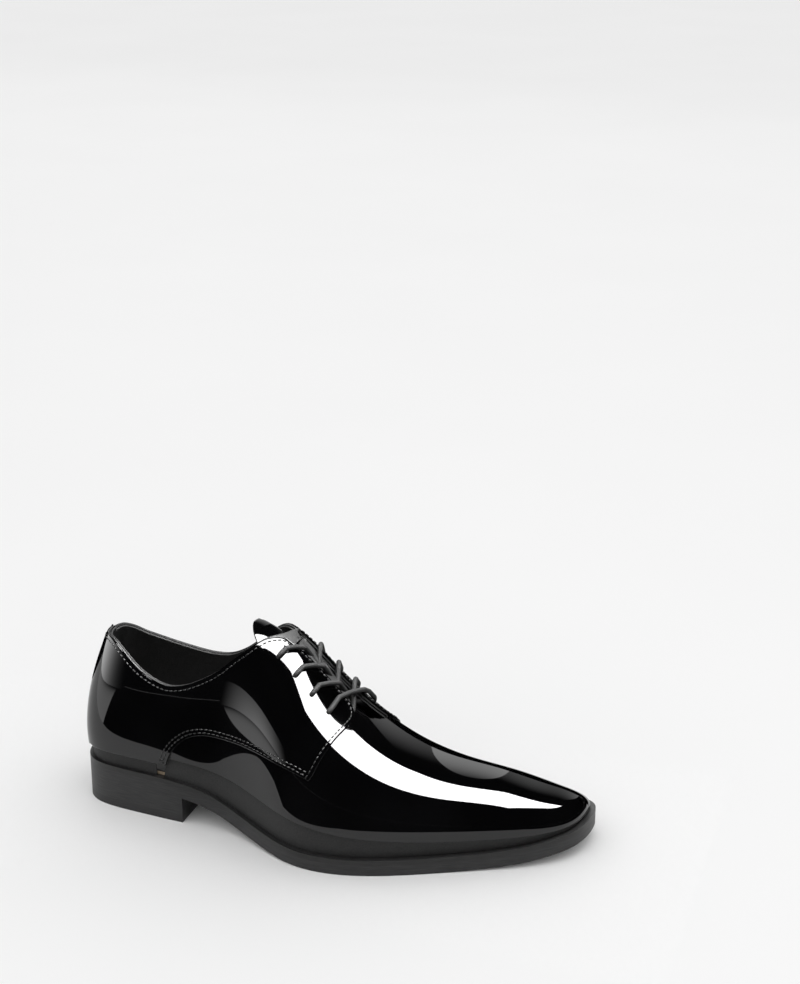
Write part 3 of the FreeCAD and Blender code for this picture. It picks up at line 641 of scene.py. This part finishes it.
# ---- trim ------------------------------------------------------------------------------------------
@dataclass
class Stitching:
    """Rows of single stitches: small capsules half sunk in the leather."""

    length: float = 2.2
    pitch: float = 3.0
    radius: float = 0.42

    def row(self, line: np.ndarray, normals: np.ndarray) -> tuple:
        """Points and faces of one row along a line.

        Args:
            line: Points of the row.
            normals: The leather's normals there.

        Returns:
            Points and quads.
        """
        run = np.r_[0.0, np.cumsum(np.linalg.norm(np.diff(line, axis=0), axis=1))]
        middles = np.arange(self.pitch, run[-1] - self.pitch * 0.5, self.pitch)

        def at(where: np.ndarray, values: np.ndarray) -> np.ndarray:
            """Values at distances along the line."""
            return np.stack([np.interp(where, run, values[:, k]) for k in range(3)], -1)
        start, stop = at(middles - self.length / 2, line), at(middles + self.length / 2, line)
        normal = at(middles, normals)
        ahead = stop - start
        ahead /= np.maximum(np.linalg.norm(ahead, axis=1, keepdims=True), 1e-6)
        cross = np.cross(normal, ahead)
        along = np.array([0.0, 0.12, 0.3, 0.5, 0.7, 0.88, 1.0])
        thick = np.array([0.25, 0.75, 0.98, 1.0, 0.98, 0.75, 0.25]) * self.radius
        turn = np.linspace(0, 2 * np.pi, 6, endpoint=False)
        spine = start[:, None] * (1 - along[None, :, None]) + stop[:, None] * along[None, :, None]
        shape = (np.cos(turn)[None, None, :, None] * cross[:, None, None] + np.sin(turn)[None, None, :, None]
                 * normal[:, None, None]) * thick[None, :, None, None]
        points = (spine[:, :, None] + shape).reshape(-1, 3)
        count = len(along) * len(turn)
        index = np.arange(count).reshape(len(along), len(turn))
        nxt = np.roll(index, -1, 1)
        quads = np.stack([index[:-1], nxt[:-1], nxt[1:], index[1:]], -1).reshape(-1, 4)
        faces = (quads[None] + (np.arange(len(middles)) * count)[:, None, None]).reshape(-1, 4)
        return points, faces

    def build(self, name: str, rows: list, material: bpy.types.Material) -> bpy.types.Object:
        """One object holding several rows, each a line and its normals."""
        points, faces, total = [], [], 0
        for line, normals in rows:
            p, f = self.row(line, normals)
            points.append(p)
            faces.append(f + total)
            total += len(p)
        return add_mesh(name, np.vstack(points), [np.vstack(faces)], "shoe", material)


def surface_line(last: LastShape, side: Side, uv: np.ndarray, level: float) -> tuple:
    """Points and normals of a line of parameters, at a level."""
    return last.at(side, uv[:, 0], uv[:, 1], level), last.normals(side, uv[:, 0], uv[:, 1], level)


def offset_on_surface(last: LastShape, side: Side, uv: np.ndarray, level: float, distance: float,
                      flip: bool) -> tuple:
    """A line on the surface moved sideways along the surface, with its normals.

    Args:
        last: The last.
        side: Half of the last.
        uv: Parameter pairs of the line.
        level: Level of the surface.
        distance: How far it moves, in millimetres.
        flip: Whether sideways is turned round.

    Returns:
        Points and normals.
    """
    points, normals = surface_line(last, side, uv, level)
    ahead = np.gradient(points, axis=0)
    ahead /= np.maximum(np.linalg.norm(ahead, axis=1, keepdims=True), 1e-9)
    sideways = np.cross(normals, ahead) * (-1.0 if flip else 1.0)
    return points + sideways * distance, normals


# ---- finishes --------------------------------------------------------------------------------------
@dataclass(frozen=True)
class Finish:
    """A material: colour, gloss, grain and fine relief.

    The colour runs between two shades along a noise; the relief is the same noise, stretched into bands
    where the piece has them.
    """

    name: str
    dark: tuple
    light: tuple
    rough: float
    grain: float = 900.0
    relief: float = 0.1
    depth: float = 0.0004
    stretch: tuple = (1.0, 1.0, 1.0)
    metal: float = 0.0
    ior: float = 1.5
    coat: float = 0.0
    specular: float = 0.5
    detail: float = 3.0

    def build(self) -> bpy.types.Material:
        """The node material."""
        material = bpy.data.materials.new(self.name)
        material.use_nodes = True
        nodes, links = material.node_tree.nodes, material.node_tree.links
        shader = nodes["Principled BSDF"]
        shader.inputs["Roughness"].default_value = self.rough
        shader.inputs["Metallic"].default_value = self.metal
        shader.inputs["IOR"].default_value = self.ior
        shader.inputs["Specular IOR Level"].default_value = self.specular
        shader.inputs["Coat Weight"].default_value = self.coat
        shader.inputs["Coat Roughness"].default_value = 0.03
        where = nodes.new("ShaderNodeTexCoord")
        mapping = nodes.new("ShaderNodeMapping")
        mapping.inputs["Scale"].default_value = self.stretch
        links.new(where.outputs["Object"], mapping.inputs["Vector"])
        noise = nodes.new("ShaderNodeTexNoise")
        noise.inputs["Scale"].default_value = self.grain
        noise.inputs["Detail"].default_value = self.detail
        links.new(mapping.outputs["Vector"], noise.inputs["Vector"])
        ramp = nodes.new("ShaderNodeValToRGB")
        ramp.color_ramp.elements[0].position = 0.35
        ramp.color_ramp.elements[1].position = 0.68
        ramp.color_ramp.elements[0].color = (*self.dark, 1)
        ramp.color_ramp.elements[1].color = (*self.light, 1)
        links.new(noise.outputs["Fac"], ramp.inputs["Fac"])
        links.new(ramp.outputs["Color"], shader.inputs["Base Color"])
        bump = nodes.new("ShaderNodeBump")
        bump.inputs["Strength"].default_value = self.relief
        bump.inputs["Distance"].default_value = self.depth
        links.new(noise.outputs["Fac"], bump.inputs["Height"])
        links.new(bump.outputs["Normal"], shader.inputs["Normal"])
        return material


PATENT = Finish("patent", (0.0016, 0.0016, 0.0018), (0.0030, 0.0030, 0.0033), 0.03, grain=24.0,
                relief=0.16, depth=0.0022, ior=1.52, detail=0.0)
LINING = Finish("lining", (0.006, 0.006, 0.006), (0.014, 0.0135, 0.013), 0.55, grain=1400.0, relief=0.3)
STIFFENER = Finish("stiffener", (0.010, 0.010, 0.010), (0.02, 0.02, 0.02), 0.7, grain=1200.0)
SOLE_EDGE = Finish("sole_edge", (0.006, 0.006, 0.0065), (0.019, 0.019, 0.0195), 0.46, grain=420.0,
                   relief=0.35, depth=0.0003, stretch=(0.22, 0.22, 4.0))
WELT = Finish("welt_black", (0.004, 0.004, 0.004), (0.010, 0.010, 0.010), 0.42, grain=500.0, relief=0.3,
              stretch=(0.3, 0.3, 3.0))
HEEL_RUBBER = Finish("heel_rubber", (0.005, 0.005, 0.0055), (0.014, 0.014, 0.0145), 0.5, grain=420.0,
                     relief=0.35, depth=0.0003, stretch=(0.22, 0.22, 4.0))
CORK = Finish("cork", (0.16, 0.09, 0.045), (0.40, 0.27, 0.15), 0.85, grain=700.0, relief=0.6)
BOARD = Finish("insole_board", (0.20, 0.15, 0.10), (0.30, 0.24, 0.17), 0.8, grain=1100.0)
STEEL = Finish("steel", (0.42, 0.42, 0.43), (0.56, 0.56, 0.57), 0.3, grain=900.0, metal=1.0)
EYELET = Finish("eyelet_black", (0.004, 0.004, 0.004), (0.010, 0.010, 0.010), 0.35, grain=800.0)
LACE = Finish("lace_cotton", (0.002, 0.002, 0.0022), (0.012, 0.012, 0.0125), 0.6, grain=2600.0, relief=0.9,
              depth=0.0005)
TAG = Finish("lace_tag", (0.004, 0.004, 0.004), (0.008, 0.008, 0.008), 0.2, grain=500.0)
THREAD = Finish("thread", (0.004, 0.004, 0.004), (0.014, 0.014, 0.014), 0.38, grain=2400.0, relief=0.4)


# ---- the studio ------------------------------------------------------------------------------------
@dataclass
class Studio:
    """Floor, soft light and camera."""

    ambient: float = 0.985
    floor_shade: float = 0.90
    ceiling: float = 1.25
    softbox: float = 30.0
    wall_y: float = 3.2
    flag_z: float = 0.002

    def card(self, name: str, corners: list, strength: float,
             fade: tuple | None = None) -> bpy.types.Object:
        """A soft light card that only shows in reflections.

        The four corners span a bilinear sheet.  Its light may fade along one axis between two places.

        Args:
            name: Object name.
            corners: Four corners in metres.
            strength: Radiance at its brightest, or 0 for a black flag.
            fade: Axis index, place where it is dark, place where it is bright.

        Returns:
            The object.
        """
        mesh = bpy.data.meshes.new(name)
        mesh.from_pydata(corners, [], [(0, 1, 2, 3)])
        material = bpy.data.materials.new(name)
        material.use_nodes = True
        nodes, links = material.node_tree.nodes, material.node_tree.links
        nodes.clear()
        out = nodes.new("ShaderNodeOutputMaterial")
        glow = nodes.new("ShaderNodeEmission")
        glow.inputs["Color"].default_value = (1, 1, 1, 1)
        glow.inputs["Strength"].default_value = strength
        if fade is not None:
            where = nodes.new("ShaderNodeTexCoord")
            split = nodes.new("ShaderNodeSeparateXYZ")
            ramp = nodes.new("ShaderNodeMapRange")
            ramp.interpolation_type = "SMOOTHSTEP"
            ramp.inputs["From Min"].default_value = fade[1]
            ramp.inputs["From Max"].default_value = fade[2]
            ramp.inputs["To Min"].default_value = 0.0
            ramp.inputs["To Max"].default_value = strength
            links.new(where.outputs["Object"], split.inputs[0])
            links.new(split.outputs[fade[0]], ramp.inputs["Value"])
            links.new(ramp.outputs["Result"], glow.inputs["Strength"])
        links.new(glow.outputs[0], out.inputs["Surface"])
        mesh.materials.append(material)
        thing = bpy.data.objects.new(name, mesh)
        bpy.context.scene.collection.objects.link(thing)
        thing.visible_camera = False
        thing.visible_diffuse = False
        thing.visible_shadow = False
        thing.visible_transmission = False
        thing.visible_volume_scatter = False
        return thing

    def build(self) -> None:
        """Floor, cards, lights, world and camera."""
        mesh = bpy.data.meshes.new("floor")
        mesh.from_pydata([(-14, -6, 0), (14, -6, 0), (14, 30, 0), (-14, 30, 0)], [], [(0, 1, 2, 3)])
        pale = Finish("floor_pale", (self.floor_shade - 0.01,) * 3, (self.floor_shade,) * 3, 0.75, grain=3.0,
                      relief=0.0, specular=0.1)
        mesh.materials.append(pale.build())
        floor = bpy.data.objects.new("floor", mesh)
        bpy.context.scene.collection.objects.link(floor)
        world = bpy.context.scene.world or bpy.data.worlds.new("studio")
        bpy.context.scene.world = world
        world.use_nodes = True
        sky = world.node_tree.nodes.get("Background")
        bpy.context.scene.view_settings.view_transform = "Standard"
        sky.inputs["Color"].default_value = (1, 1, 1, 1)
        sky.inputs["Strength"].default_value = self.ambient
        world.cycles_visibility.glossy = False
        high, wall, low = self.ceiling, self.wall_y, self.flag_z
        self.card("softbox_overhead", [(0.60, -0.36, high), (1.04, -0.30, high), (1.07, 1.10, high),
                                       (0.60, 0.84, high)], self.softbox)
        self.card("softbox_facing", [(-0.48, -0.98, high), (0.60, -0.16, high), (0.60, 0.84, high),
                                     (-0.50, -0.70, high)], self.softbox)
        self.card("softbox_left", [(-1.9, 0.6, -0.1), (-1.25, -1.6, -0.1), (-1.25, -1.6, 0.4),
                                   (-1.9, 0.6, 0.4)], 4.5, (1, -1.6, -0.3))
        self.card("backdrop_glow", [(1.2, wall, 0.3), (0.35, wall, 0.3), (0.35, wall, 2.2),
                                    (1.2, wall, 2.2)], 1.0, (2, 2.2, 0.3))
        self.card("backdrop_upper", [(0.35, wall, 0.3), (-2.4, wall, 0.3), (-2.4, wall, 3.6),
                                     (0.35, wall, 3.6)], 1.9, (2, 3.6, 1.0))
        near = [(-0.14, -0.12), (-0.02, -0.105), (0.05, -0.085), (0.14, -0.112), (5.0, -0.115)]
        far = [(-4.0, -4.6), (-0.6, -4.6), (0.05, -4.6), (0.14, -4.6), (5.0, -4.6)]
        for i, (a, b, c, d) in enumerate(zip(far, far[1:], near[1:], near)):
            self.card(f"floor_flag_{i}", [(x, y, low) for x, y in (a, b, c, d)], 0.0)
        self.card("floor_left", [(-4, -4.6, low), (-0.14, -0.12, low), (-0.9, -0.12, low), (-4, -0.12, low)],
                  1.5, (1, -1.3, -0.25))
        for i, (x0, y0, x1, y1) in enumerate(((-4, 0.12, 5, 5), (0.33, -0.115, 5, 0.12))):
            self.card(f"floor_far_{i}", [(x0, y0, low), (x1, y0, low), (x1, y1, low), (x0, y1, low)], 0.0)
        lamp = bpy.data.lights.new("soft_top", "AREA")
        lamp.shape = "RECTANGLE"
        lamp.size, lamp.size_y = 1.6, 1.6
        lamp.energy = 1.2
        light = bpy.data.objects.new("soft_top", lamp)
        light.location = (0.3, -0.1, 1.6)
        light.visible_glossy = False
        bpy.context.scene.collection.objects.link(light)
        self.camera()

    def camera(self) -> None:
        """The camera, from the outer side, a little ahead and above."""
        data = bpy.data.cameras.new("camera")
        data.sensor_fit = "VERTICAL"
        data.sensor_height = 36.0
        data.lens = 69.51
        data.clip_end = 100.0
        camera = bpy.data.objects.new("camera", data)
        camera.location = (0.4547, -0.92142, 0.55859)
        camera.rotation_euler = (math.radians(70), 0, math.radians(18))
        bpy.context.scene.collection.objects.link(camera)
        bpy.context.scene.camera = camera


# ---- the shoe --------------------------------------------------------------------------------------
CARRIED = {
    "outsole": SOLE_EDGE, "welt": WELT, "bottom_filler": CORK, "shank": STEEL, "insole_board": BOARD,
    "sock_lining": LINING, "heel_top_piece": HEEL_RUBBER, "heel_lift_1": SOLE_EDGE, "heel_lift_2": SOLE_EDGE,
    "heel_lift_3": SOLE_EDGE, "heel_nails": STEEL, "top_piece_nails": STEEL, "vamp_interlining": STIFFENER,
    "toe_puff": STIFFENER, "vamp_lining": LINING, "heel_counter": STIFFENER, "tongue_root": LINING,
    "eyelets_lateral": EYELET, "eyelets_medial": EYELET, "lace": LACE, "lace_tags": TAG}


class Shoe:
    """All the pieces of the shoe that get their own meshes, and the dress of the carried ones."""

    def __init__(self, frame: dict) -> None:
        """The last and the finishes.

        Args:
            frame: What the frame's loader gives: nodes, bodies, joints and record.
        """
        self.frame = frame
        self.last = LastShape()
        self.finish = {f.name: f.build() for f in
                       (PATENT, LINING, STIFFENER, SOLE_EDGE, WELT, HEEL_RUBBER, CORK, BOARD, STEEL,
                        EYELET, LACE, TAG, THREAD)}

    def dress(self) -> None:
        """Materials of the CAD nodes."""
        for node, finish in CARRIED.items():
            thing = self.frame["nodes"][node]
            thing.data.materials.clear()
            thing.data.materials.append(self.finish[finish.name])
            LOG.info("%s dressed in %s", node, finish.name)

    def stitches(self, pattern: Pattern) -> None:
        """Topline row, the double row of the seam and the row down the front."""
        last, side = self.last, pattern.side
        flip = side is Side.MEDIAL
        top = last.find(side, smooth_line(pattern.topline, 240)[14:], (0, 2), 1.16)
        seam = last.find(side, smooth_line(pattern.seam, 200), (0, 2), 1.16)
        front = last.find(side, smooth_line(pattern.front, 200), (0, 1), 1.16)
        rows = [offset_on_surface(last, side, top, 1.16, -2.6, flip),
                offset_on_surface(last, side, seam, 1.16, 1.8, flip),
                offset_on_surface(last, side, seam, 1.16, 3.9, flip),
                offset_on_surface(last, side, front, 1.16, -2.2, flip)]
        Stitching().build(f"stitches_{side.name.lower()}", rows, self.finish["thread"])

    def build(self) -> None:
        """Every piece in order."""
        self.dress()
        upper = Upper(self.last)
        patent, lining = self.finish["patent"], self.finish["lining"]
        for pattern in (LATERAL_PATTERN, MEDIAL_PATTERN):
            upper.quarter(pattern, patent, lining)
            upper.vamp(pattern.side, patent)
            self.stitches(pattern)
        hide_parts("vamp")
        straps = [upper.backstay(side, patent) for side in Side]
        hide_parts("backstay")
        upper.tongue(patent)


def main() -> None:
    """Build the studio and the shoe."""
    logging.basicConfig(level=logging.INFO)
    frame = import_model()
    Shoe(frame).build()
    Studio().build()


if __name__ == "__main__":
    main()
